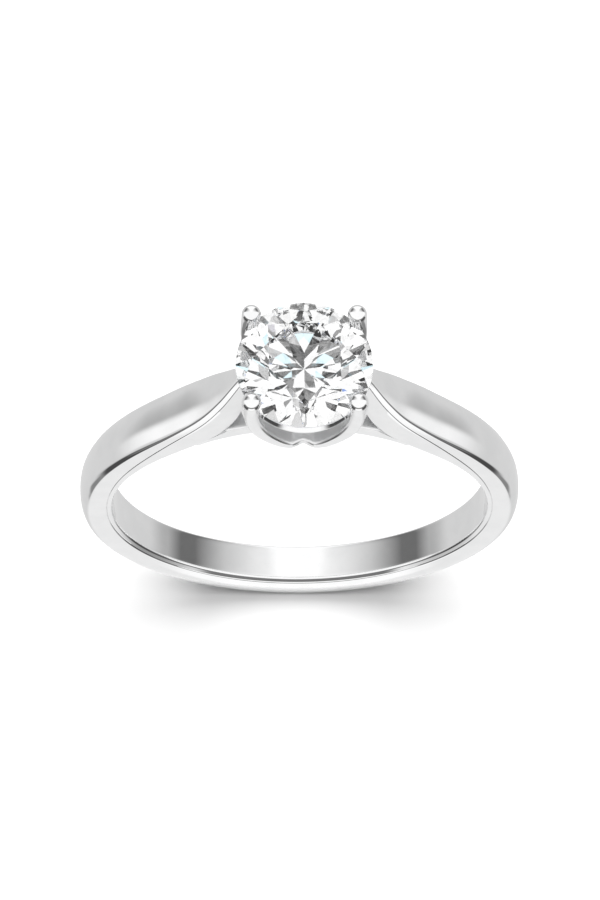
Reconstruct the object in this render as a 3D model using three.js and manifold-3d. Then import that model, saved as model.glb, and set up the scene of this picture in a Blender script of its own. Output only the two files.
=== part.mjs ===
// A four-claw solitaire engagement ring: a tapered court hoop with cathedral shoulders,
// a thin bridge under the head, four deep claws that sweep down to meet under the stone,
// a bearer ring, and a round brilliant-cut diamond.
//
// Millimetres, +Z up. The origin is the centre of the finger hole, the hole's axis is Y,
// the front of the ring faces -Y, and the stone stands on top, along +Z.
// "From the top" angles are measured at the origin, from +Z round towards +X.

import * as THREE from 'three';
import { ConvexGeometry } from 'three/addons/geometries/ConvexGeometry.js';
import { mergeVertices } from 'three/addons/utils/BufferGeometryUtils.js';
import Module from 'manifold-3d';

const wasm = await Module();
wasm.setup();

// ---------------------------------------------------------------- driving dimensions

const FINGER_RADIUS = 8.65;        // inside radius of the hoop, 17.3 mm across
const SEAM = 0.03;                 // width of a solder seam between two pieces
const SHOULDER_JOINT = 54;         // degrees from the top where hoop and shoulder are joined
const SHOULDER_TIP = 13.2;         // degrees from the top where a shoulder ends

const BRIDGE_THICKNESS = 0.70;
const BRIDGE_END = 32.5;           // degrees from the top
const BRIDGE_HALF_WIDTH = [1.00, 1.15];   // at the middle, at the ends

const GIRDLE_RADIUS = 3.0;
const GIRDLE_HEIGHT = 13.25;       // height of the middle of the girdle above the origin
const GIRDLE_THICKNESS = 0.16;
const TABLE_RADIUS = 1.68;
const CROWN_ANGLE = 34.5;
const PAVILION_ANGLE = 40.8;
const STAR_LENGTH = 0.50;
const LOWER_HALF_LENGTH = 0.77;
const STONE_TURN = 22.5;           // degrees from +X to the first corner of the table

const BEARER_OUTER = 2.84;         // radii of the bearer ring: its foot, its upper rim, its hole
const BEARER_RIM = 2.64;
const BEARER_INNER = 2.34;
const BEARER_BOTTOM = 12.20;

const CLAW_TIP_RADIUS = 0.43;
const CLAW_TIP_HEIGHT = 14.36;     // top of the rounded claw tips

// The hoop and shoulder section, by angle from the top. Each line gives the radius of the
// inner surface, its half-width, then (height above the inner surface, half-width) of the
// edge of the side face, of the middle of the flank and of the crease, and the crest height.
const SECTIONS = [
  // angle, inner,  w0,   edge:h  w     flank:h  w     crease:h  w     crest
  [180.0, 8.650, 0.80, 0.23, 0.940, 0.75, 1.120, 1.36, 1.060, 1.58],
  [150.0, 8.650, 0.82, 0.23, 0.960, 0.78, 1.130, 1.38, 1.060, 1.58],
  [120.0, 8.650, 0.88, 0.23, 1.000, 0.80, 1.130, 1.36, 1.050, 1.55],
  [90.0, 8.650, 0.96, 0.23, 1.040, 0.76, 1.130, 1.25, 1.050, 1.49],
  [75.0, 8.650, 1.04, 0.27, 1.090, 0.70, 1.140, 1.17, 1.080, 1.45],
  [60.0, 8.650, 1.13, 0.37, 1.160, 0.72, 1.170, 1.12, 1.140, 1.41],
  [48.0, 8.655, 1.18, 0.55, 1.190, 0.84, 1.180, 1.16, 1.150, 1.42],
  [39.5, 8.690, 1.20, 0.82, 1.200, 1.02, 1.170, 1.24, 1.130, 1.47],
  [31.6, 8.820, 1.19, 1.10, 1.190, 1.28, 1.150, 1.47, 1.090, 1.67],
  [24.7, 9.080, 1.09, 1.32, 1.090, 1.49, 1.050, 1.68, 0.990, 1.85],
  [19.1, 9.500, 0.88, 1.62, 0.880, 1.80, 0.830, 1.99, 0.770, 2.12],
  [15.6, 10.120, 0.66, 1.66, 0.660, 1.84, 0.590, 2.02, 0.510, 2.11],
  [13.2, 10.900, 0.48, 1.46, 0.480, 1.62, 0.410, 1.77, 0.330, 1.83],
];

// The centre line of one claw, from the middle of the ring up to its tip, for the claw at
// +X and +Y: x, y, z, half-thickness, half-depth, turn of the depth axis in degrees.
const CLAW = [
  [0.00, 1.480, 9.27, 0.20, 0.35, 0],
  [0.26, 1.510, 9.22, 0.24, 0.41, 0],
  [0.56, 1.560, 9.20, 0.27, 0.49, 0],
  [0.90, 1.595, 9.40, 0.29, 0.505, 2],
  [1.35, 1.650, 9.90, 0.31, 0.52, 5],
  [1.85, 1.735, 10.66, 0.33, 0.51, 9],
  [2.20, 1.840, 11.60, 0.34, 0.49, 14],
  [2.36, 1.950, 12.55, 0.35, 0.46, 18],
  [2.36, 2.050, 13.30, 0.385, 0.425, 18],
  [2.31, 2.120, 13.93, 0.43, 0.43, 18],
];

const WHITE_GOLD = 0xd9dadc;
const DIAMOND = 0xf2f7fa;

// ---------------------------------------------------------------- small helpers

const radians = THREE.MathUtils.degToRad;

// A point of the XZ plane given by its distance from the origin and its angle from +Z.
function polar(radius, degrees, y) {
  const a = radians(degrees);
  return new THREE.Vector3(radius * Math.sin(a), y, radius * Math.cos(a));
}

// A smooth curve through the rows of a table, read by the value in its first column.
// The slopes are limited so that the curve never overshoots its rows.
function tableCurve(rows, column) {
  const xs = rows.map((row) => row[0]);
  const ys = rows.map((row) => row[column]);
  const n = xs.length;
  const chord = [];
  for (let i = 0; i < n - 1; i += 1) {
    chord.push((ys[i + 1] - ys[i]) / (xs[i + 1] - xs[i]));
  }
  const slope = [chord[0]];
  for (let i = 1; i < n - 1; i += 1) {
    const same = chord[i - 1] * chord[i] > 0;
    slope.push(same ? (2 * chord[i - 1] * chord[i]) / (chord[i - 1] + chord[i]) : 0);
  }
  slope.push(chord[n - 2]);
  const falling = xs[1] < xs[0];
  return (x) => {
    let i = 0;
    while (i < n - 2 && (falling ? x < xs[i + 1] : x > xs[i + 1])) {
      i += 1;
    }
    const h = xs[i + 1] - xs[i];
    const t = (x - xs[i]) / h;
    const t2 = t * t;
    const t3 = t2 * t;
    return (2 * t3 - 3 * t2 + 1) * ys[i] + (t3 - 2 * t2 + t) * h * slope[i]
      + (3 * t2 - 2 * t3) * ys[i + 1] + (t3 - t2) * h * slope[i + 1];
  };
}

// A closed body through a row of closed outlines that all have the same number of points.
// The two end outlines are capped from their middle points.
function loft(outlines) {
  const count = outlines[0].length;
  const positions = outlines.flat().flatMap((p) => [p.x, p.y, p.z]);
  const index = [];
  for (let i = 0; i < outlines.length - 1; i += 1) {
    for (let j = 0; j < count; j += 1) {
      const a = i * count + j;
      const b = i * count + ((j + 1) % count);
      index.push(a, b, b + count, a, b + count, a + count);
    }
  }
  for (const end of [0, outlines.length - 1]) {
    const middle = positions.length / 3;
    const centre = new THREE.Vector3();
    outlines[end].forEach((p) => centre.add(p));
    centre.divideScalar(count);
    positions.push(centre.x, centre.y, centre.z);
    for (let j = 0; j < count; j += 1) {
      const a = end * count + j;
      const b = end * count + ((j + 1) % count);
      index.push(...(end === 0 ? [middle, b, a] : [middle, a, b]));
    }
  }
  const geometry = new THREE.BufferGeometry();
  geometry.setAttribute('position', new THREE.Float32BufferAttribute(positions, 3));
  geometry.setIndex(index);
  return facingOut(geometry);
}

// Six times the signed volume of a closed indexed mesh, and the mesh turned to face out.
function signedVolume(geometry) {
  const p = geometry.getAttribute('position');
  const ix = geometry.getIndex();
  const [a, b, c] = [new THREE.Vector3(), new THREE.Vector3(), new THREE.Vector3()];
  let sum = 0;
  for (let i = 0; i < ix.count; i += 3) {
    a.fromBufferAttribute(p, ix.getX(i));
    b.fromBufferAttribute(p, ix.getX(i + 1));
    c.fromBufferAttribute(p, ix.getX(i + 2));
    sum += a.dot(b.cross(c));
  }
  return sum;
}

function facingOut(geometry) {
  if (signedVolume(geometry) < 0) {
    const ix = Array.from(geometry.getIndex().array);
    for (let i = 0; i < ix.length; i += 3) {
      [ix[i + 1], ix[i + 2]] = [ix[i + 2], ix[i + 1]];
    }
    geometry.setIndex(ix);
  }
  geometry.computeVertexNormals();
  return geometry;
}

function toSolid(geometry) {
  let g = geometry.clone();
  g.deleteAttribute('normal');
  g.deleteAttribute('uv');
  g = facingOut(mergeVertices(g, 1e-5));
  return new wasm.Manifold(new wasm.Mesh({
    numProp: 3,
    vertProperties: new Float32Array(g.getAttribute('position').array),
    triVerts: new Uint32Array(g.getIndex().array),
  }));
}

function toGeometry(solid) {
  const mesh = solid.getMesh();
  const geometry = new THREE.BufferGeometry();
  geometry.setAttribute('position', new THREE.Float32BufferAttribute(mesh.vertProperties, 3));
  geometry.setIndex(Array.from(mesh.triVerts));
  geometry.computeVertexNormals();
  return geometry;
}

// The body with room for its neighbours cut out of it.
function cutBy(geometry, neighbours) {
  let solid = toSolid(geometry);
  for (const neighbour of neighbours) {
    solid = solid.subtract(toSolid(neighbour));
  }
  return toGeometry(solid);
}

// ---------------------------------------------------------------- hoop and shoulders

const column = Object.fromEntries(
  ['inner', 'w0', 'edgeH', 'edgeW', 'flankH', 'flankW', 'creaseH', 'creaseW', 'crest']
    .map((name, i) => [name, tableCurve(SECTIONS, i + 1)]),
);

// A point pulled off a corner, along the side towards its neighbour.
function towards(corner, neighbour, part) {
  return [
    corner[0] + (neighbour[0] - corner[0]) * part,
    corner[1] + (neighbour[1] - corner[1]) * part,
  ];
}

// One half of the section as (height, half-width) pairs, from the finger side to the crest.
function halfSection(angle) {
  const v = (name) => column[name](angle);
  const start = [0, v('w0')];
  const edge = [v('edgeH'), v('edgeW')];
  const flank = [v('flankH'), v('flankW')];
  const crease = [v('creaseH'), v('creaseW')];
  const dome = [v('crest'), v('creaseW') * 0.48];
  // Low down the crease is rolled right over; it sharpens as it climbs to the head.
  const roll = THREE.MathUtils.clamp((angle - 45) / 70, 0.14, 0.5);
  return [
    start,
    edge,
    towards(flank, edge, 0.4),
    towards(flank, crease, 0.4),
    towards(crease, flank, roll),
    towards(crease, dome, roll),
    towards(dome, crease, 0.3),
    [dome[0], dome[1] * 0.6],
  ];
}

// The closed section at a signed angle: positive on the +X side, negative on the -X side.
function hoopSection(signed) {
  const angle = Math.abs(signed);
  const inner = column.inner(angle);
  const half = halfSection(angle);
  const front = half.map(([h, w]) => polar(inner + h, signed, -w));
  const back = half.map(([h, w]) => polar(inner + h, signed, w)).reverse();
  return [...front, ...back];
}

// Sections between two signed angles, no more than a step apart.
function hoopSections(from, to, step) {
  const steps = Math.ceil(Math.abs(to - from) / step);
  const sections = [];
  for (let i = 0; i <= steps; i += 1) {
    sections.push(hoopSection(from + ((to - from) * i) / steps));
  }
  return sections;
}

// The seam turned into an angle at the middle of the metal.
const seamAngle = THREE.MathUtils.radToDeg(SEAM / (FINGER_RADIUS + 0.7));

// The hoop runs from one joint down through the bottom (180 degrees) to the other.
const shankGeometry = loft([
  ...hoopSections(SHOULDER_JOINT + seamAngle, 180, 4.5),
  ...hoopSections(-180, -SHOULDER_JOINT - seamAngle, 4.5).slice(1),
]);

function shoulderGeometry(side) {
  return loft(hoopSections(side * SHOULDER_JOINT, side * SHOULDER_TIP, 1.7));
}

// ---------------------------------------------------------------- bridge

// The bridge carries the finger hole on under the head. Its ends thin out under the
// shoulders, whose inner surface has by then left the finger hole.
function bridgeGeometry() {
  const steps = 26;
  const sections = [];
  for (let i = 0; i <= steps; i += 1) {
    const signed = -BRIDGE_END + (2 * BRIDGE_END * i) / steps;
    const angle = Math.abs(signed);
    const room = angle >= SHOULDER_TIP ? column.inner(angle) - SEAM : Infinity;
    const outer = Math.min(FINGER_RADIUS + BRIDGE_THICKNESS, room);
    const part = angle / BRIDGE_END;
    const w = THREE.MathUtils.lerp(BRIDGE_HALF_WIDTH[0], BRIDGE_HALF_WIDTH[1], part * part);
    const soft = Math.min(0.07, (outer - FINGER_RADIUS) * 0.3);
    const half = [
      [FINGER_RADIUS, w - soft],
      [FINGER_RADIUS + soft, w],
      [outer - soft, w],
      [outer, w - soft],
    ];
    sections.push([
      ...half.map(([r, y]) => polar(r, signed, -y)),
      ...half.map(([r, y]) => polar(r, signed, y)).reverse(),
    ]);
  }
  return loft(sections);
}

// ---------------------------------------------------------------- diamond

// A round brilliant: table, star, main and upper-half facets, a thin girdle that follows
// the facets, then lower-half and main pavilion facets down to a point.
// "grow" moves its whole surface outwards, for cutting seats that clear it.
function diamondGeometry(grow = 0) {
  const r = GIRDLE_RADIUS + grow;
  const tanCrown = Math.tan(radians(CROWN_ANGLE));
  const tanPavilion = Math.tan(radians(PAVILION_ANGLE));
  const rise = grow / Math.cos(radians(CROWN_ANGLE)) - grow * tanCrown;
  const drop = grow / Math.cos(radians(PAVILION_ANGLE)) - grow * tanPavilion;
  const top = GIRDLE_THICKNESS / 2 + rise;
  const bottom = -GIRDLE_THICKNESS / 2 - drop;
  const cosHalf = Math.cos(radians(22.5));
  const at = (radius, degrees, z) => new THREE.Vector3(
    radius * Math.cos(radians(degrees + STONE_TURN)),
    radius * Math.sin(radians(degrees + STONE_TURN)),
    z,
  );
  const tableZ = top + (r - TABLE_RADIUS) * tanCrown;
  const starR = TABLE_RADIUS * cosHalf + STAR_LENGTH * (r - TABLE_RADIUS * cosHalf);
  const starZ = top + (r - starR * cosHalf) * tanCrown;
  const lowerR = r * (1 - LOWER_HALF_LENGTH);
  const lowerZ = bottom - (r - lowerR * cosHalf) * tanPavilion;
  const points = [at(0, 0, bottom - r * tanPavilion)];
  for (let k = 0; k < 8; k += 1) {
    const a = k * 45;
    points.push(at(TABLE_RADIUS, a, tableZ), at(starR, a + 22.5, starZ));
    points.push(at(lowerR, a + 22.5, lowerZ));
    // Half facets meet the girdle at the main and at the half angle, and bow out between.
    for (const side of [-1, 1]) {
      const main = at(r, a, 0);
      const half = at(r, a + side * 22.5, 0);
      for (const [peak, z] of [[starR, starZ - top], [lowerR, lowerZ - bottom]]) {
        const level = z > 0 ? top : bottom;
        const apex = at(peak, a + side * 22.5, z);
        const plane = new THREE.Plane().setFromCoplanarPoints(main, half, apex);
        const bow = at(r, a + side * 11.25, 0);
        const n = plane.normal;
        const bowZ = -(n.x * bow.x + n.y * bow.y + plane.constant) / n.z;
        points.push(new THREE.Vector3(bow.x, bow.y, level + bowZ));
        points.push(at(r, a, level), at(r, a + side * 22.5, level));
      }
    }
  }
  const geometry = new ConvexGeometry(points);
  geometry.deleteAttribute('normal');
  const merged = facingOut(mergeVertices(geometry, 1e-5));
  merged.translate(0, 0, GIRDLE_HEIGHT);
  return merged;
}

const seat = diamondGeometry(SEAM);

// ---------------------------------------------------------------- bearer ring

// The bearer's top is a cone that lies along the pavilion, a seam's width below it.
function bearerGeometry(grow = 0) {
  const tanPavilion = Math.tan(radians(PAVILION_ANGLE));
  const pavilion = (r) => GIRDLE_HEIGHT - GIRDLE_THICKNESS / 2 - (GIRDLE_RADIUS - r) * tanPavilion;
  const drop = 0.06 - grow;
  const ro = BEARER_OUTER + grow;
  const rim = BEARER_RIM + grow;
  const ri = BEARER_INNER - grow;
  const low = BEARER_BOTTOM - grow;
  const profile = [
    [ri, low + 0.06],
    [ri + 0.06, low],
    [ro - 0.12, low],
    [ro, low + 0.12],
    [rim + 0.02, pavilion(rim) - drop - 0.06],
    [rim - 0.03, pavilion(rim - 0.03) - drop],
    [ri, pavilion(ri) - drop],
    [ri, low + 0.06],
  ];
  const lathe = new THREE.LatheGeometry(profile.map(([x, y]) => new THREE.Vector2(x, y)), 56);
  lathe.rotateX(Math.PI / 2);
  lathe.deleteAttribute('normal');
  lathe.deleteAttribute('uv');
  return facingOut(mergeVertices(lathe, 1e-5));
}

const bearerRoom = bearerGeometry(SEAM);

// ---------------------------------------------------------------- claws

// One claw for the corner (sx, sy). Its outline is a soft-cornered oblong that grows
// round towards the tip, and the tip itself closes as a dome.
function clawGeometry(sx, sy) {
  const spine = new THREE.CatmullRomCurve3(
    CLAW.map(([x, y, z]) => new THREE.Vector3(x + (x === 0 ? SEAM / 2 : 0), y, z)),
    false,
    'centripetal',
  );
  const last = CLAW.length - 1;
  const value = (t, k) => {
    const i = Math.min(Math.floor(t * last), last - 1);
    return THREE.MathUtils.lerp(CLAW[i][k], CLAW[i + 1][k], t * last - i);
  };
  const stations = 24;
  const outlines = [];
  const ring = (centre, tangent, a, b, turn, power) => {
    const depth = new THREE.Vector3(-Math.sin(radians(turn)), Math.cos(radians(turn)), 0);
    depth.addScaledVector(tangent, -depth.dot(tangent)).normalize();
    const across = new THREE.Vector3().crossVectors(tangent, depth);
    const outline = [];
    for (let j = 0; j < 16; j += 1) {
      const q = (j / 16) * Math.PI * 2;
      const c = Math.cos(q);
      const s = Math.sin(q);
      const k = (Math.abs(c) ** power + Math.abs(s) ** power) ** (-1 / power);
      const p = centre.clone();
      p.addScaledVector(across, a * c * k);
      p.addScaledVector(depth, b * s * k);
      outline.push(new THREE.Vector3(p.x * sx, p.y * sy, p.z));
    }
    return outline;
  };
  for (let i = 0; i <= stations; i += 1) {
    const t = i / stations;
    const centre = spine.getPoint(t);
    const tangent = i === 0 ? new THREE.Vector3(1, 0, 0) : spine.getTangent(t);
    const power = THREE.MathUtils.lerp(4.5, 2, THREE.MathUtils.smoothstep(t, 0.7, 0.98));
    outlines.push(ring(centre, tangent, value(t, 3), value(t, 4), value(t, 5), power));
  }
  const centre = spine.getPoint(1);
  const up = spine.getTangent(1);
  const domeHeight = CLAW_TIP_HEIGHT - centre.z;
  for (const q of [22, 44, 64, 80]) {
    const p = centre.clone().addScaledVector(up, domeHeight * Math.sin(radians(q)));
    const r = CLAW_TIP_RADIUS * Math.cos(radians(q));
    outlines.push(ring(p, up, r, r, CLAW[last][5], 2));
  }
  return cutBy(loft(outlines), [seat, bearerRoom]);
}

// ---------------------------------------------------------------- assembly

const group = new THREE.Group();

function add(name, geometry, colour, roughness, metalness) {
  const material = new THREE.MeshStandardMaterial({ color: colour, roughness, metalness });
  const mesh = new THREE.Mesh(geometry, material);
  mesh.name = name;
  group.add(mesh);
}

function addMetal(name, geometry) {
  add(name, geometry, WHITE_GOLD, 0.08, 1.0);
}

addMetal('shank', shankGeometry);
for (const [name, side] of [['left', -1], ['right', 1]]) {
  addMetal(`shoulder_${name}`, cutBy(shoulderGeometry(side), [bearerRoom, seat]));
}
addMetal('bridge', bridgeGeometry());
addMetal('bearer_ring', bearerGeometry());
for (const [end, sy] of [['front', -1], ['back', 1]]) {
  for (const [name, sx] of [['left', -1], ['right', 1]]) {
    addMetal(`claw_${end}_${name}`, clawGeometry(sx, sy));
  }
}
add('diamond', diamondGeometry(), DIAMOND, 0.0, 0.0);

export default group;
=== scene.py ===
"""A four-claw solitaire engagement ring: its polished visual model, a white studio and a camera.

Lengths in the tables are millimetres, as on a jeweller's drawing; every mesh is made in metres.
The origin is the centre of the finger hole, the hole's axis is Y, the front faces -Y and the
stone stands on top, along +Z. "From the top" angles start at +Z and turn towards +X.
"""

import math

import bpy
import numpy as np
from mathutils import Matrix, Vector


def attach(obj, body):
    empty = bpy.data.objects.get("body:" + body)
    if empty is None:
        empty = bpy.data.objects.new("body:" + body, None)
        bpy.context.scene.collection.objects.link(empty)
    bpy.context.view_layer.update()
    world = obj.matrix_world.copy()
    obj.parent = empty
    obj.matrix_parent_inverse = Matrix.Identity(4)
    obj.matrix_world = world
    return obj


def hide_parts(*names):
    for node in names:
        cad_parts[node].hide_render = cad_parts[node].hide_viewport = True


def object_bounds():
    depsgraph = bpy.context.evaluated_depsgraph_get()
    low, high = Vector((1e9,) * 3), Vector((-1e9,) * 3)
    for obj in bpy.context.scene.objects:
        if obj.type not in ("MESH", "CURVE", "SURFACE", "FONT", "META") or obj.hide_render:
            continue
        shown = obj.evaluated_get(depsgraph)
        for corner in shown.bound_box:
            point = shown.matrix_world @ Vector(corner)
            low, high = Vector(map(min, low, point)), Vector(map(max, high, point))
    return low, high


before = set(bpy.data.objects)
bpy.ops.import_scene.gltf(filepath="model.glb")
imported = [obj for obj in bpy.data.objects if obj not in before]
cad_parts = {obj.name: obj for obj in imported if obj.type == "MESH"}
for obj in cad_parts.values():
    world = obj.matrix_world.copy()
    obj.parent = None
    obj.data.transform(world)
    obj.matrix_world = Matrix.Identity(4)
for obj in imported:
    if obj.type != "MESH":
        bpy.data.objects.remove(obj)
cad_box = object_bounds()

MM = 0.001

# ---------------------------------------------------------------- the ring's dimensions

FINGER_RADIUS = 8.65
SHOULDER_TIP = 13.2          # degrees from the top where a shoulder meets the head
BEVEL_LINE_DEPTH = 0.025     # the fine line between the finger side's bevel and the side face
FINGER_EDGE = 0.07           # how far each edge's rounding reaches from its corner
BEVEL_EDGE = 0.03
BRIDGE_EDGE = 0.10
BRIDGE_OUTER = 9.35
BRIDGE_END = 32.5            # degrees from the top
BRIDGE_HALF_WIDTH = (1.00, 1.15)

GIRDLE_RADIUS = 3.0
GIRDLE_HEIGHT = 13.25
GIRDLE_THICKNESS = 0.16
TABLE_RADIUS = 1.68
CROWN_ANGLE = math.radians(34.5)
PAVILION_ANGLE = math.radians(40.8)
STAR_LENGTH = 0.50
LOWER_HALF_LENGTH = 0.77
STONE_TURN = 22.5            # degrees that the first table corner is turned from +X

BEARER_OUTER, BEARER_RIM, BEARER_INNER, BEARER_BOTTOM = 2.84, 2.64, 2.34, 12.20
BEARER_GAP = 0.06            # between the bearer's seat and the stone

CLAW_TIP_RADIUS = 0.43
CLAW_TIP_HEIGHT = 14.355
SEAT_CLEARANCE = 0.012       # between the stone and the seats cut for it

# Hoop and shoulder section by angle from the top: inner radius, half-width of the finger side,
# then the height over the finger side and the half-width of the bevel's edge, of the flank and
# of the crease, then the height of the crest.
SECTIONS = np.array([
    [13.2, 10.900, 0.48, 1.46, 0.480, 1.62, 0.410, 1.77, 0.330, 1.83],
    [15.6, 10.120, 0.66, 1.66, 0.660, 1.84, 0.590, 2.02, 0.510, 2.11],
    [19.1, 9.500, 0.88, 1.62, 0.880, 1.80, 0.830, 1.99, 0.770, 2.12],
    [24.7, 9.080, 1.09, 1.32, 1.090, 1.49, 1.050, 1.68, 0.990, 1.85],
    [31.6, 8.820, 1.19, 1.10, 1.190, 1.28, 1.150, 1.47, 1.090, 1.67],
    [39.5, 8.690, 1.20, 0.82, 1.200, 1.02, 1.170, 1.24, 1.130, 1.47],
    [48.0, 8.655, 1.18, 0.55, 1.190, 0.84, 1.180, 1.16, 1.150, 1.42],
    [60.0, 8.650, 1.13, 0.37, 1.160, 0.72, 1.170, 1.12, 1.140, 1.41],
    [75.0, 8.650, 1.04, 0.27, 1.090, 0.70, 1.140, 1.17, 1.080, 1.45],
    [90.0, 8.650, 0.96, 0.23, 1.040, 0.76, 1.130, 1.25, 1.050, 1.49],
    [120.0, 8.650, 0.88, 0.23, 1.000, 0.80, 1.130, 1.36, 1.050, 1.55],
    [150.0, 8.650, 0.82, 0.23, 0.960, 0.78, 1.130, 1.38, 1.060, 1.58],
    [180.0, 8.650, 0.80, 0.23, 0.940, 0.75, 1.120, 1.36, 1.060, 1.58],
])

# One claw's centre line from the ring's middle up to its tip, at +X and +Y: x, y, z, then
# half-thickness, half-depth and the turn of the depth axis in degrees.
CLAW = np.array([
    [0.00, 1.480, 9.27, 0.20, 0.35, 0],
    [0.26, 1.510, 9.22, 0.24, 0.41, 0],
    [0.56, 1.560, 9.20, 0.27, 0.49, 0],
    [0.90, 1.595, 9.40, 0.29, 0.505, 2],
    [1.35, 1.650, 9.90, 0.31, 0.52, 5],
    [1.85, 1.735, 10.66, 0.33, 0.51, 9],
    [2.20, 1.840, 11.60, 0.34, 0.49, 14],
    [2.36, 1.950, 12.55, 0.35, 0.46, 18],
    [2.36, 2.050, 13.30, 0.385, 0.425, 18],
    [2.31, 2.120, 13.93, 0.43, 0.43, 18],
])


# ---------------------------------------------------------------- curves and meshes

def table_curve(rows, column):
    """A smooth curve through a table's rows that never overshoots them."""
    xs, ys = rows[:, 0], rows[:, column]
    chord = np.diff(ys) / np.diff(xs)
    slope = np.zeros(len(xs))
    slope[0], slope[-1] = chord[0], chord[-1]
    for i in range(1, len(xs) - 1):
        if chord[i - 1] * chord[i] > 0:
            slope[i] = 2 * chord[i - 1] * chord[i] / (chord[i - 1] + chord[i])

    def read(x):
        i = int(np.clip(np.searchsorted(xs, x) - 1, 0, len(xs) - 2))
        h = xs[i + 1] - xs[i]
        t = (x - xs[i]) / h
        return ((2 * t**3 - 3 * t**2 + 1) * ys[i] + (t**3 - 2 * t**2 + t) * h * slope[i]
                + (3 * t**2 - 2 * t**3) * ys[i + 1] + (t**3 - t**2) * h * slope[i + 1])
    return read


def line(a, b, count):
    """Points from a up to, but not including, b."""
    t = np.arange(count)[:, None] / count
    return a + (b - a) * t


def bend(a, corner, b, count):
    """A smooth curve from a to b that a corner pulls, without its last point."""
    t = np.arange(count)[:, None] / count
    return (1 - t)**2 * a + 2 * t * (1 - t) * corner + t**2 * b


def off(corner, neighbour, distance):
    """The point a distance off a corner, towards its neighbour, at most half way."""
    d = neighbour - corner
    return corner + d * min(0.48, distance / max(np.linalg.norm(d), 1e-9))


def smoothstep(t, a, b):
    t = np.clip((t - a) / (b - a), 0, 1)
    return t * t * (3 - 2 * t)


def mesh_object(name, points, faces, smooth=True, sharp=None):
    """A mesh in metres from points in millimetres."""
    mesh = bpy.data.meshes.new(name)
    mesh.from_pydata([tuple(p) for p in np.asarray(points) * MM], [], faces)
    mesh.update()
    mesh.validate()
    mesh.polygons.foreach_set("use_smooth", [smooth] * len(mesh.polygons))
    if sharp:
        mesh.set_sharp_from_angle(angle=math.radians(sharp))
    obj = bpy.data.objects.new(name, mesh)
    bpy.context.scene.collection.objects.link(obj)
    return obj


def outward(points, faces):
    """The faces, turned round if they face in."""
    p = np.asarray(points)
    volume = 0.0
    for f in faces:
        for i in range(1, len(f) - 1):
            volume += np.dot(p[f[0]], np.cross(p[f[i]], p[f[i + 1]]))
    return faces if volume > 0 else [tuple(reversed(f)) for f in faces]


def loft(outlines):
    """Points and faces of a closed body through closed outlines, with capped ends."""
    rows, count = len(outlines), len(outlines[0])
    points = np.concatenate(outlines)
    faces = []
    for i in range(rows - 1):
        for j in range(count):
            a, b = i * count + j, i * count + (j + 1) % count
            faces.append((a, b, b + count, a + count))
    faces.append(tuple(reversed(range(count))))
    faces.append(tuple(range((rows - 1) * count, rows * count)))
    return points, outward(points, faces)


def polar(radius, degrees, y):
    a = math.radians(degrees)
    return np.stack([radius * math.sin(a), y, radius * math.cos(a)], axis=-1)


def mirrored_outline(degrees, radius, half_width):
    """A closed outline at an angle from the top, from its half on the front side."""
    front = polar(radius, degrees, -half_width)
    back = polar(radius[1:-1], degrees, half_width[1:-1])
    return np.concatenate([front, back[::-1]])


# ---------------------------------------------------------------- hoop with its shoulders

def fair_curve(rows, column):
    """The table's curve with its small bumps polished out, more so away from the head."""
    read = table_curve(rows, column)
    low, high = rows[0, 0], rows[-1, 0]
    grid = np.linspace(low, high, 700)
    values = np.array([read(x) for x in grid])
    slope = (values[1] - values[0]) / (grid[1] - grid[0])
    before = np.linspace(low - 6, low, 25, endpoint=False)
    after = 2 * high - grid[-2:-170:-1]
    xs = np.concatenate([before, grid, after])
    ys = np.concatenate([values[0] + slope * (before - low), values, values[-2:-170:-1]])
    step = np.gradient(xs)
    faired = []
    for x in grid:
        reach = np.clip(0.10 * x, 1.2, 7.0)      # degrees that the averaging spreads over
        weight = step * np.exp(-0.5 * ((xs - x) / reach)**2)
        faired.append(np.sum(weight * ys) / np.sum(weight))
    return lambda x: float(np.interp(x, grid, faired))


CURVES = [fair_curve(SECTIONS, k) for k in range(1, SECTIONS.shape[1])]


def half_section(angle):
    """(height, half-width) points from the middle of the finger side round to the crest."""
    inner, w0, edge_h, edge_w, flank_h, flank_w, crease_h, crease_w, crest = [
        c(angle) for c in CURVES]
    start, edge = np.array([0, w0]), np.array([edge_h, edge_w])
    flank, crease = np.array([flank_h, flank_w]), np.array([crease_h, crease_w])
    dome, middle = np.array([crest, crease_w * 0.48]), np.array([crest, 0.0])
    roll = float(np.clip((angle - 45) / 70, 0.30, 0.5))      # the crease softens down the hoop
    a0, a1 = off(start, np.zeros(2), FINGER_EDGE), off(start, edge, FINGER_EDGE)
    b0, b1 = off(edge, start, BEVEL_EDGE), off(edge, flank, BEVEL_EDGE)
    groove = edge - np.array([0, BEVEL_LINE_DEPTH])
    f0, f1 = flank + (edge - flank) * 0.4, flank + (crease - flank) * 0.4
    c0, c1 = crease + (flank - crease) * roll, crease + (dome - crease) * roll
    return inner, np.concatenate([
        line(np.zeros(2), a0, 6), bend(a0, start, a1, 5), line(a1, b0, 5),
        line(b0, groove, 2), line(groove, b1, 2),
        line(b1, f0, 4), bend(f0, flank, f1, 6), line(f1, c0, 3),
        bend(c0, crease, c1, 12), bend(c1, dome, middle, 16), middle[None]])


def make_hoop():
    outlines = []
    for angle in np.linspace(SHOULDER_TIP, 360 - SHOULDER_TIP, 441):
        signed = angle if angle <= 180 else angle - 360
        inner, half = half_section(abs(signed))
        outlines.append(mirrored_outline(signed, inner + half[:, 0], half[:, 1]))
    return mesh_object("hoop", *loft(outlines), sharp=50)


# ---------------------------------------------------------------- bridge and bearer ring

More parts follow.
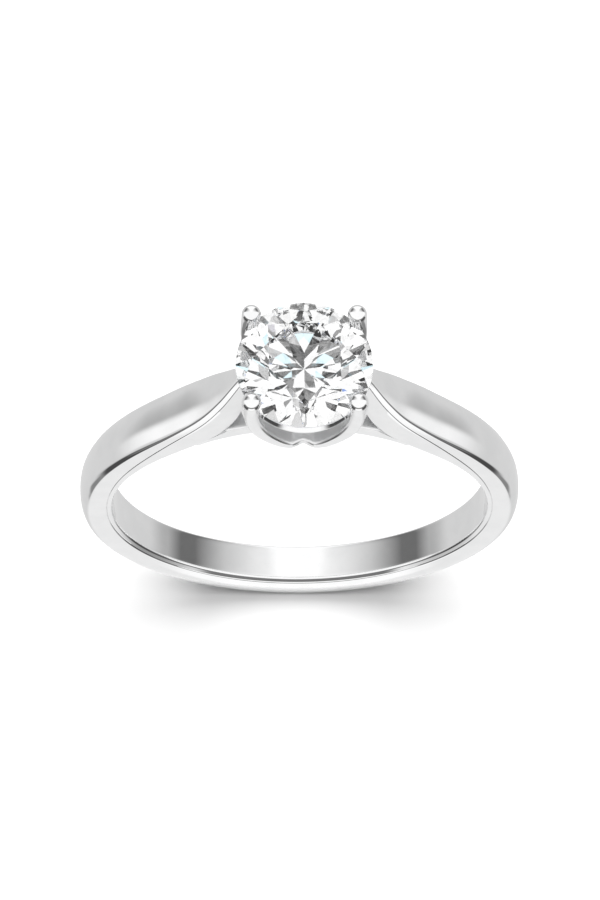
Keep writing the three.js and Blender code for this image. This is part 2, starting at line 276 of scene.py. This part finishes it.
def make_bridge():
    """The thin band under the head. Where the shoulders leave less room it thins out."""
    middle_width, end_width = BRIDGE_HALF_WIDTH
    outlines = []
    for signed in np.linspace(-BRIDGE_END, BRIDGE_END, 81):
        angle = abs(signed)
        room = CURVES[0](angle) + 0.01 if angle >= SHOULDER_TIP else BRIDGE_OUTER
        outer = min(BRIDGE_OUTER, room)
        width = middle_width + (end_width - middle_width) * (angle / BRIDGE_END)**2
        soft = min(BRIDGE_EDGE, (outer - FINGER_RADIUS) * 0.4)
        a, b = np.array([FINGER_RADIUS, width]), np.array([outer, width])
        mid_a, mid_b = np.array([FINGER_RADIUS, 0.0]), np.array([outer, 0.0])
        half = np.concatenate([
            line(mid_a, off(a, mid_a, soft), 5),
            bend(off(a, mid_a, soft), a, off(a, b, soft), 6),
            line(off(a, b, soft), off(b, a, soft), 4),
            bend(off(b, a, soft), b, off(b, mid_b, soft), 6),
            line(off(b, mid_b, soft), mid_b, 5), mid_b[None]])
        outlines.append(mirrored_outline(signed, half[:, 0], half[:, 1]))
    return mesh_object("bridge_band", *loft(outlines), sharp=50)


def make_bearer():
    """The ring under the girdle, with a conical seat along the pavilion."""
    slope = math.tan(PAVILION_ANGLE)
    edge = GIRDLE_HEIGHT - GIRDLE_THICKNESS / 2 - BEARER_GAP
    seat = lambda r: edge - (GIRDLE_RADIUS - r) * slope
    corners = [np.array(p) for p in (
        (BEARER_INNER, BEARER_BOTTOM), (BEARER_OUTER, BEARER_BOTTOM),
        (BEARER_RIM, seat(BEARER_RIM)), (BEARER_INNER, seat(BEARER_INNER)))]
    rounding = (0.06, 0.16, 0.05, 0.03)
    profile = []
    for i in range(4):
        after = (i + 1) % 4
        a = off(corners[i], corners[i - 1], rounding[i])
        b = off(corners[i], corners[after], rounding[i])
        profile += [bend(a, corners[i], b, 8), line(b, off(corners[after], corners[i], rounding[after]), 3)]
    profile = np.concatenate(profile)
    turns, count = 160, len(profile)
    points, faces = [], []
    for i in range(turns):
        a = 2 * math.pi * i / turns
        points += [(r * math.cos(a), r * math.sin(a), z) for r, z in profile]
        for j in range(count):
            k, n = (j + 1) % count, ((i + 1) % turns) * count
            faces.append((i * count + j, n + j, n + k, i * count + k))
    return mesh_object("bearer_seat", points, outward(points, faces), sharp=50)


# ---------------------------------------------------------------- diamond

def brilliant(grow=0.0):
    """Points and faces of a round brilliant, its surface moved out by grow."""
    r = GIRDLE_RADIUS + grow
    tan_c, tan_p = math.tan(CROWN_ANGLE), math.tan(PAVILION_ANGLE)
    top = GIRDLE_THICKNESS / 2 + grow / math.cos(CROWN_ANGLE) - grow * tan_c
    low = -GIRDLE_THICKNESS / 2 - grow / math.cos(PAVILION_ANGLE) + grow * tan_p
    cos_half = math.cos(math.radians(22.5))

    def at(radius, degrees, z):
        a = math.radians(degrees + STONE_TURN)
        return np.array([radius * math.cos(a), radius * math.sin(a), z + GIRDLE_HEIGHT])

    star_r = TABLE_RADIUS * cos_half + STAR_LENGTH * (r - TABLE_RADIUS * cos_half)
    tips = {1: (star_r, top + (r - star_r * cos_half) * tan_c, top)}
    lower_r = r * (1 - LOWER_HALF_LENGTH)
    tips[-1] = (lower_r, low - (r - lower_r * cos_half) * tan_p, low)
    table_z = top + (r - TABLE_RADIUS) * tan_c

    steps = 8                # girdle points along one half facet
    points, names = [], {}

    def put(key, p):
        names[key] = len(points)
        points.append(p)

    put("culet", at(0, 0, low - r * tan_p))
    for k in range(8):
        put(("table", k), at(TABLE_RADIUS, k * 45, table_z))
        for side in (1, -1):
            put((side, "tip", k), at(tips[side][0], k * 45 + 22.5, tips[side][1]))
    for i in range(16 * steps):
        degrees = i * 22.5 / steps
        cell = i // steps
        main, half = (cell, cell + 1) if cell % 2 == 0 else (cell + 1, cell)
        for side in (1, -1):
            radius, z, level = tips[side]
            a, b = at(r, main * 22.5, level), at(r, half * 22.5, level)
            apex = at(radius, half * 22.5, z)
            n = np.cross(b - a, apex - a)
            p = at(r, degrees, level)
            p[2] = a[2] - (n[0] * (p[0] - a[0]) + n[1] * (p[1] - a[1])) / n[2]
            put((side, "girdle", i), p)
    whole = 16 * steps
    rim = lambda side, i: names[(side, "girdle", i % whole)]
    tip = lambda side, k: names[(side, "tip", k % 8)]
    table = [names[("table", k)] for k in range(8)]
    faces = [tuple(table)]
    for k in range(8):
        main = 2 * k * steps
        faces.append((table[k], tip(1, k), table[(k + 1) % 8]))
        faces.append((table[k], tip(1, k - 1), rim(1, main), tip(1, k)))
        faces.append((names["culet"], tip(-1, k), rim(-1, main), tip(-1, k - 1)))
        for side in (1, -1):
            faces.append((tip(side, k), *[rim(side, main + i) for i in range(steps + 1)]))
            faces.append((tip(side, k - 1), *[rim(side, main - steps + i) for i in range(steps + 1)]))
    for i in range(whole):
        faces.append((rim(1, i), rim(-1, i), rim(-1, i + 1), rim(1, i + 1)))
    centre = np.array([0, 0, GIRDLE_HEIGHT - 0.5])
    facing = []
    for f in faces:
        p = np.array([points[i] for i in f])
        n = sum(np.cross(p[i] - p[0], p[i + 1] - p[0]) for i in range(1, len(f) - 1))
        facing.append(f if np.dot(n, p.mean(0) - centre) > 0 else tuple(reversed(f)))
    return points, facing


def make_diamond():
    return mesh_object("brilliant", *brilliant(), smooth=False)


# ---------------------------------------------------------------- claws

def spline(rows, count):
    """Points and tangents along a centripetal Catmull-Rom curve through the rows."""
    p = np.vstack([2 * rows[0] - rows[1], rows, 2 * rows[-1] - rows[-2]])
    out = []
    spans = len(rows) - 1
    for s in np.linspace(0, spans, count):
        i = min(int(s), spans - 1)
        q = p[i:i + 4]
        d = [max(np.linalg.norm(q[k + 1] - q[k])**0.5, 1e-4) for k in range(3)]
        t1 = (q[1] - q[0]) / d[0] - (q[2] - q[0]) / (d[0] + d[1]) + (q[2] - q[1]) / d[1]
        t2 = (q[2] - q[1]) / d[1] - (q[3] - q[1]) / (d[1] + d[2]) + (q[3] - q[2]) / d[2]
        t1, t2 = t1 * d[1], t2 * d[1]
        t = s - i
        out.append((2 * t**3 - 3 * t**2 + 1) * q[1] + (t**3 - 2 * t**2 + t) * t1
                   + (3 * t**2 - 2 * t**3) * q[2] + (t**3 - t**2) * t2)
    out = np.array(out)
    tangents = np.gradient(out, axis=0)
    return out, tangents / np.linalg.norm(tangents, axis=1)[:, None]


def claw_ring(centre, tangent, a, b, turn, power, count=48):
    """One outline of a claw: an ellipse at power 2, nearer a rectangle above it."""
    depth = np.array([-math.sin(math.radians(turn)), math.cos(math.radians(turn)), 0])
    depth = depth - tangent * np.dot(depth, tangent)
    depth /= np.linalg.norm(depth)
    across = np.cross(tangent, depth)
    q = np.arange(count) / count * 2 * math.pi
    c, s = np.cos(q), np.sin(q)
    k = (np.abs(c)**power + np.abs(s)**power)**(-1 / power)
    return centre + np.outer(a * c * k, across) + np.outer(b * s * k, depth)


def make_claw(name, sx, sy):
    """A claw, mirrored to its side and end by the signs, with a round bead for its tip."""
    count = 121
    centres, tangents = spline(CLAW[:, :3], count)
    tangents[0] = (1, 0, 0)
    outlines = []
    for i in range(count):
        t = i / (count - 1)
        row = t * (len(CLAW) - 1)
        a, b, turn = [np.interp(row, range(len(CLAW)), CLAW[:, k]) for k in (3, 4, 5)]
        power = 4.5 - 2.5 * smoothstep(t, 0.7, 0.98)
        outlines.append(claw_ring(centres[i], tangents[i], a, b, turn, power))
    top, up = centres[-1], tangents[-1]
    height = (CLAW_TIP_HEIGHT - top[2]) / up[2]
    for q in np.radians(np.linspace(0, 88, 15)[1:]):
        r = CLAW_TIP_RADIUS * math.cos(q)
        outlines.append(claw_ring(top + up * height * math.sin(q), up, r, r, CLAW[-1, 5], 2))
    outlines = [o * (sx, sy, 1) for o in outlines]
    return mesh_object(name, *loft(outlines), sharp=50)


def cut(obj, tool):
    """Cuts the tool's shape out of obj."""
    modifier = obj.modifiers.new("seat", "BOOLEAN")
    modifier.operation = "DIFFERENCE"
    modifier.solver = "EXACT"
    modifier.object = tool
    graph = bpy.context.evaluated_depsgraph_get()
    mesh = bpy.data.meshes.new_from_object(obj.evaluated_get(graph))
    obj.modifiers.clear()
    obj.data = mesh
    mesh.set_sharp_from_angle(angle=math.radians(35))


# ---------------------------------------------------------------- the pieces

hoop = make_hoop()
bridge = make_bridge()
bearer = make_bearer()
diamond = make_diamond()
seat = mesh_object("seat_tool", *brilliant(SEAT_CLEARANCE), smooth=False)
claws = {}
for end, sy in (("front", -1), ("back", 1)):
    for side, sx in (("left", -1), ("right", 1)):
        claw = make_claw(f"claw_{end}_{side}_prong", sx, sy)
        cut(claw, seat)
        claws[f"claw_{end}_{side}"] = claw
bpy.data.objects.remove(seat)

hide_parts("shank", "shoulder_left", "shoulder_right")
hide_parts("bridge")
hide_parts("bearer_ring")
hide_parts("diamond")
for node, claw in claws.items():
    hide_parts(node)
metal_pieces = [hoop, bridge, bearer, *claws.values()]
for piece in metal_pieces + [diamond]:
    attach(piece, "root")

# ---------------------------------------------------------------- camera

ELEVATION = math.radians(65.95)
DISTANCE = 0.200             # metres
LEAN, YAW = math.radians(-0.95), math.radians(-0.45)    # small turns round Y and Z
SHIFT = (0.00067, 0.04367)   # across and up, in parts of the picture's height


def make_camera():
    camera = bpy.data.objects.new("camera", bpy.data.cameras.new("camera"))
    bpy.context.scene.collection.objects.link(camera)
    camera.data.sensor_width = 36.0
    camera.data.lens = 172.85
    camera.data.clip_start, camera.data.clip_end = 0.01, 10
    camera.data.shift_x, camera.data.shift_y = SHIFT
    turn = Matrix.Rotation(YAW, 4, "Z") @ Matrix.Rotation(LEAN, 4, "Y")
    along, up = DISTANCE * math.cos(ELEVATION), DISTANCE * math.sin(ELEVATION)
    aim = Matrix.Rotation(math.pi / 2 - ELEVATION, 4, "X")
    camera.matrix_world = turn @ Matrix.Translation((0, -along, up)) @ aim
    bpy.context.scene.camera = camera


make_camera()

# ---------------------------------------------------------------- shader helpers

class Maths:
    """Writes arithmetic as nodes. Every value is a number or a socket."""

    def __init__(self, tree):
        self.tree = tree

    def node(self, kind):
        return self.tree.nodes.new(kind)

    def link(self, value, socket):
        if isinstance(value, bpy.types.NodeSocket):
            self.tree.links.new(value, socket)
        else:
            socket.default_value = value

    def op(self, operation, *values):
        n = self.node("ShaderNodeMath")
        n.operation = operation
        for value, socket in zip(values, n.inputs):
            self.link(value, socket)
        return n.outputs[0]

    def step(self, value, a, b):
        """0 before a, 1 after b, smooth between; a may be the larger."""
        if a > b:
            return self.op("SUBTRACT", 1.0, self.step(value, b, a))
        n = self.node("ShaderNodeMapRange")
        n.interpolation_type = "SMOOTHSTEP"
        self.link(value, n.inputs["Value"])
        n.inputs["From Min"].default_value = a
        n.inputs["From Max"].default_value = b
        return n.outputs["Result"]

    def window(self, value, a, b, c, d):
        """0 outside a to d, 1 from b to c."""
        return self.op("MULTIPLY", self.step(value, a, b), self.step(value, d, c))

    def mix(self, first, second, weight):
        n = self.node("ShaderNodeMix")
        n.data_type = "FLOAT"
        self.link(weight, n.inputs[0])
        self.link(first, n.inputs[2])
        self.link(second, n.inputs[3])
        return n.outputs[0]

    def ramp(self, value, stops, hard=False):
        """A number read from (value, number) stops, all under 2: sloped between them, or in steps."""
        n = self.node("ShaderNodeValToRGB")
        low, high = stops[0][0], stops[-1][0]
        span = self.op("DIVIDE", self.op("SUBTRACT", value, low), high - low)
        self.link(span, n.inputs[0])
        if hard:
            n.color_ramp.interpolation = "CONSTANT"
        elements = n.color_ramp.elements
        elements.remove(elements[1])
        for i, (at, number) in enumerate(stops):
            e = elements[0] if i == 0 else elements.new((at - low) / (high - low))
            e.position = (at - low) / (high - low)
            e.color = (number / 2, number / 2, number / 2, 1)
        return self.op("MULTIPLY", n.outputs[0], 2.0)

    def tint(self, first, second, weight):
        """A colour between two."""
        n = self.node("ShaderNodeMix")
        n.data_type = "RGBA"
        self.link(weight, n.inputs[0])
        self.link(first, n.inputs[6])
        self.link(second, n.inputs[7])
        return n.outputs[2]


def new_material(name):
    material = bpy.data.materials.new(name)
    material.use_nodes = True
    tree = material.node_tree
    return material, Maths(tree), tree.nodes["Principled BSDF"]


def noise(m, scale, detail=2):
    """A cloudy number from 0 to 1 over an object, at so many clouds to the metre."""
    n = m.node("ShaderNodeTexNoise")
    n.inputs["Scale"].default_value = scale
    n.inputs["Detail"].default_value = detail
    m.link(m.node("ShaderNodeTexCoord").outputs["Object"], n.inputs["Vector"])
    return n.outputs["Fac"]


def xyz(m, vector):
    """A vector's three numbers."""
    n = m.node("ShaderNodeSeparateXYZ")
    m.link(vector, n.inputs[0])
    return n.outputs


# ---------------------------------------------------------------- materials

WHITE_GOLD = (0.795, 0.797, 0.800, 1), (0.825, 0.826, 0.828, 1)    # its duller and brighter spots
POLISH = 0.035, 0.075        # roughness, where the buffing is best and worst
SATIN = 0.38
DIAMOND_IOR = 2.417
GIRDLE_ROUGHNESS = 0.25, 0.45


def polished_metal(name, unpolished_below=None):
    """Rhodium-plated white gold: a mirror polish with the faint cloudiness of a buffing wheel.

    The wheel can't get in under the stone, so upward faces lower than that height stay satin.
    """
    material, m, shader = new_material(name)
    haze = noise(m, scale=900, detail=4)
    rough = m.mix(*POLISH, m.step(haze, 0.3, 0.7))
    if unpolished_below:
        height = xyz(m, m.node("ShaderNodeTexCoord").outputs["Object"])[2]
        upward = xyz(m, m.node("ShaderNodeNewGeometry").outputs["Normal"])[2]
        low = m.step(height, unpolished_below, unpolished_below - 0.5 * MM)
        rough = m.mix(rough, SATIN, m.op("MULTIPLY", low, m.step(upward, 0.1, 0.5)))
    shader.inputs["Metallic"].default_value = 1.0
    m.link(m.tint(*WHITE_GOLD, m.step(haze, 0.35, 0.65)), shader.inputs["Base Color"])
    m.link(rough, shader.inputs["Roughness"])
    return material


def diamond_facets():
    material, m, shader = new_material("diamond")
    shader.inputs["Base Color"].default_value = (1, 1, 1, 1)
    shader.inputs["Transmission Weight"].default_value = 1.0
    shader.inputs["Roughness"].default_value = 0.0
    shader.inputs["IOR"].default_value = DIAMOND_IOR
    return material


def ground_girdle():
    """The stone's edge is left finely ground, so it is frosted."""
    material, m, shader = new_material("diamond_girdle")
    shader.inputs["Base Color"].default_value = (0.95, 0.97, 1.0, 1)
    shader.inputs["Transmission Weight"].default_value = 1.0
    shader.inputs["IOR"].default_value = DIAMOND_IOR
    m.link(m.mix(*GIRDLE_ROUGHNESS, noise(m, scale=12000)), shader.inputs["Roughness"])
    return material


hoop_metal = polished_metal("polished_white_gold")
head_metal = polished_metal("head_white_gold", unpolished_below=BEARER_BOTTOM * MM)
for piece in metal_pieces:
    piece.data.materials.clear()
    piece.data.materials.append(hoop_metal if piece == hoop else head_metal)
diamond.data.materials.append(diamond_facets())
diamond.data.materials.append(ground_girdle())
for polygon in diamond.data.polygons:
    upright = abs(polygon.normal.z) < 0.05
    polygon.material_index = 1 if upright else 0

# ---------------------------------------------------------------- studio

FLOOR_RADIUS = 600
FLOOR_GAP = 0.01             # between the floor and the lowest metal
MIRRORED_FLOOR = 6.5, 2.6    # the half-lengths of the patch under the ring that metal mirrors


def white_paper():
    """Metal mirrors only the shadowed paper close to the ring, and the stone lets none through."""
    material, m, shader = new_material("white_paper")
    shader.inputs["Base Color"].default_value = (0.86, 0.86, 0.86, 1)
    shader.inputs["Roughness"].default_value = 0.9
    shader.inputs["Specular IOR Level"].default_value = 0.0
    place = xyz(m, m.node("ShaderNodeTexCoord").outputs["Object"])
    along = m.op("DIVIDE", place[0], MIRRORED_FLOOR[0] * MM)
    across = m.op("DIVIDE", place[1], MIRRORED_FLOOR[1] * MM)
    far = m.op("SQRT", m.op("ADD", m.op("MULTIPLY", along, along), m.op("MULTIPLY", across, across)))
    path = m.node("ShaderNodeLightPath").outputs
    unseen = m.op("MULTIPLY", m.step(far, 0.7, 1.2), path["Is Glossy Ray"])
    clear = m.node("ShaderNodeBsdfTransparent")
    blend = m.node("ShaderNodeMixShader")
    m.link(m.op("MAXIMUM", unseen, path["Is Transmission Ray"]), blend.inputs[0])
    m.link(shader.outputs[0], blend.inputs[1])
    m.link(clear.outputs[0], blend.inputs[2])
    m.link(blend.outputs[0], material.node_tree.nodes["Material Output"].inputs[0])
    return material


def make_floor(z):
    """A round sheet of white paper."""
    turns = 96
    points = [(0, 0, z)]
    for i in range(turns):
        a = i * 2 * math.pi / turns
        points.append((FLOOR_RADIUS * math.cos(a), FLOOR_RADIUS * math.sin(a), z))
    faces = [(0, 1 + i, 1 + (i + 1) % turns) for i in range(turns)]
    floor = mesh_object("floor", points, faces)
    floor.data.materials.append(white_paper())
    return floor


def make_overhead_light():
    """The big soft light that gives the ring its shadow. Metal and stone don't show it."""
    sun = bpy.data.lights.new("overhead", "SUN")
    sun.energy, sun.angle = 4.8, math.radians(82)
    overhead = bpy.data.objects.new("overhead", sun)
    bpy.context.scene.collection.objects.link(overhead)
    overhead.rotation_euler = (math.radians(-18), 0, 0)
    overhead.visible_glossy = False
    overhead.visible_transmission = False


# Below, every angle is in degrees and a tone of 1 is white.

def tent_tone(m, height, around):
    """A white tent, with one dark flag standing at each side of the back."""
    flag = m.ramp(height, [(-3, 0.60), (10, 0.18), (20, 0.18), (40, 0.70), (65, 1.15), (90, 1.25)])
    flag = m.mix(flag, 1.25, m.step(around, 40, 24))
    return m.mix(flag, 1.2, m.step(around, 68, 74))


def table_tone(m, height, around, tilt, clock):
    """The pale table under the tent, lighter towards the front, with dark gaps at its sides."""
    back = m.op("MULTIPLY", m.step(height, -18, 0), m.step(around, 76, 68))
    table = m.mix(0.77, 0.50, back)
    table = m.mix(table, 0.99, m.step(clock, 138, 165))
    front = m.op("MULTIPLY", m.step(clock, 152, 162), m.step(tilt, 116, 104))
    table = m.mix(table, 1.22, front)
    gap = m.op("MULTIPLY", m.window(clock, 103, 110, 148, 157), m.step(tilt, 128, 111))
    table = m.mix(table, 0.08, gap)
    seam = m.op("MULTIPLY", m.window(clock, 112, 124, 146, 153), m.window(tilt, 112, 120, 128, 134))
    table = m.mix(table, 0.28, seam)
    brink = m.op("MULTIPLY", m.step(height, -19, -13), m.step(around, 104, 116))
    table = m.mix(table, 0.22, brink)
    glow = m.op("MULTIPLY", m.step(height, -22, 6), m.window(around, 70, 80, 94, 99))
    return m.mix(table, 1.2, glow)


def card_tone(m, pick, tilt):
    """What the stone gathers from all over the room: bright and dark cards.

    A dark disc lies on the studio's main axis.
    """
    card = m.ramp(pick, [(0, 0.0), (0.13, 0.2), (0.22, 0.7), (0.32, 1.3), (1, 1.3)], hard=True)
    return m.mix(card, 0.10, m.step(tilt, 14, 12))


def make_world():
    """The studio by direction. The metal, the stone, the paper and the view each see their own."""
    world = bpy.data.worlds.new("studio")
    bpy.context.scene.world = world
    world.use_nodes = True
    m = Maths(world.node_tree)
    background = world.node_tree.nodes["Background"]
    x, y, z = xyz(m, m.node("ShaderNodeTexCoord").outputs["Generated"])
    side = m.op("ABSOLUTE", x)
    degrees = 180 / math.pi
    low, high = math.cos(ELEVATION), math.sin(ELEVATION)
    front = m.op("ADD", m.op("MULTIPLY", y, -low), m.op("MULTIPLY", z, high))
    back = m.op("ADD", m.op("MULTIPLY", y, high), m.op("MULTIPLY", z, low))
    # Angles from the studio's main axis, up and to the front, and round it, 0 at the back.
    tilt = m.op("MULTIPLY", m.op("ARCCOSINE", front), degrees)
    clock = m.op("MULTIPLY", m.op("ARCTAN2", side, back), degrees)
    # Angles over the horizon, and round the vertical, 0 at the back.
    height = m.op("MULTIPLY", m.op("ARCSINE", z), degrees)
    around = m.op("MULTIPLY", m.op("ARCTAN2", side, y), degrees)
    sky = tent_tone(m, height, around)
    table = table_tone(m, height, around, tilt, clock)
    tone = m.mix(table, sky, m.step(height, -1.5, 1.5))

    # The metal is never perfectly sharp, so sharp reflections are the stone's as well.
    path = m.node("ShaderNodeLightPath").outputs
    through = m.op("GREATER_THAN", path["Transmission Depth"], 0.5)
    stone = m.op("MAXIMUM", through, path["Is Singular Ray"])
    # The room's left and right are nearly mirrored.
    spot = m.node("ShaderNodeCombineXYZ")
    m.link(m.op("ADD", side, m.op("MULTIPLY", x, 0.12)), spot.inputs[0])
    m.link(y, spot.inputs[1])
    m.link(z, spot.inputs[2])
    cards = m.node("ShaderNodeTexVoronoi")
    cards.inputs["Scale"].default_value = 5.5
    m.link(spot.outputs[0], cards.inputs["Vector"])
    pick = m.node("ShaderNodeSeparateColor")
    m.link(cards.outputs["Color"], pick.inputs[0])
    card = card_tone(m, pick.outputs[0], tilt)
    tone = m.mix(tone, m.mix(0.30, card, through), stone)
    tone = m.mix(tone, 0.15, path["Is Diffuse Ray"])
    tone = m.mix(tone, 1.1, path["Is Camera Ray"])
    m.link(tone, background.inputs["Strength"])

    # A few cards are tinted, as a diamond's fire is.
    tinted = m.op("MULTIPLY", stone, m.op("LESS_THAN", pick.outputs[1], 0.07))
    hue = m.tint((0.16, 0.30, 0.75, 1), (0.72, 0.93, 1.0, 1), m.op("GREATER_THAN", pick.outputs[2], 0.4))
    hue = m.tint(hue, (0.86, 0.82, 1.0, 1), m.op("GREATER_THAN", pick.outputs[2], 0.75))
    m.link(m.tint((1, 1, 1, 1), hue, tinted), background.inputs["Color"])


make_floor(cad_box[0].z / MM - FLOOR_GAP)
make_overhead_light()
make_world()

scene = bpy.context.scene
scene.view_settings.view_transform = "Standard"
scene.cycles.max_bounces = 32
scene.cycles.transmission_bounces = 32
scene.cycles.glossy_bounces = 16
